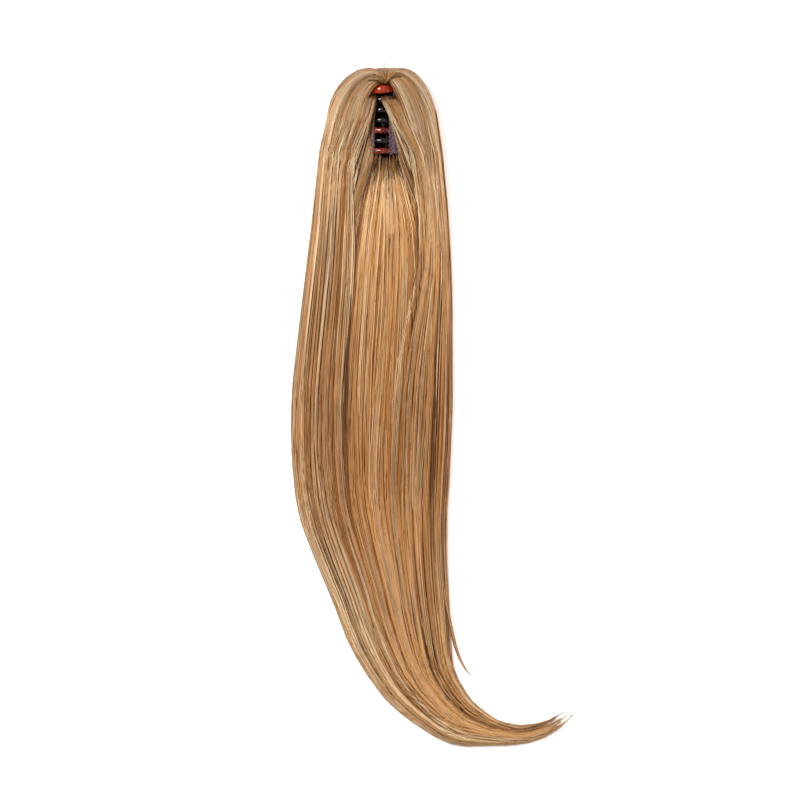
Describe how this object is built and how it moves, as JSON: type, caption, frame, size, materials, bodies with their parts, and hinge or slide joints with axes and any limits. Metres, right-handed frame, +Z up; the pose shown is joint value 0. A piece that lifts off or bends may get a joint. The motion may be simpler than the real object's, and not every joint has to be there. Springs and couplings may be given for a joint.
{
  "type": "ponytail hairpiece",
  "caption": "Long straight ponytail hairpiece on a small claw clip, lying with its teeth up and its tip swept aside.",
  "frame": {"origin": "on the floor, at the middle of the whole hairpiece's footprint", "axes": "+Z up, away from the floor; +Y along the hair from its tips to the clip; +X towards the side that the tip bends to"},
  "size_m": [0.1974, 0.4774, 0.053],
  "materials": {
    "tortoiseshell": "glossy red-brown and black tortoiseshell",
    "steel": "bright spring wire and pin",
    "net": "dark purple-grey knitted weft net",
    "hair": "straight honey-blonde fibre with lighter and darker streaks, satin"
  },
  "bodies": {
    "hairpiece": {"jaw_left": "tortoiseshell", "hinge_pin": "steel", "spring": "steel", "net_left": "net", "hair_left": "hair", "hair_right": "hair", "hair_length": "hair"},
    "jaw": {"jaw_right": "tortoiseshell", "net_right": "net"}
  },
  "joints": [
    {"name": "claw_hinge", "type": "hinge", "parent": "hairpiece", "child": "jaw", "pos_m": [-0.03386, 0.20016, 0.01983], "axis": [0, 1, 0], "range_deg": [0, 30], "stiffness_Nm_per_rad": 0.08, "springref_deg": -34.38, "deforming": ["spring", "hair_right"]}
  ]
}
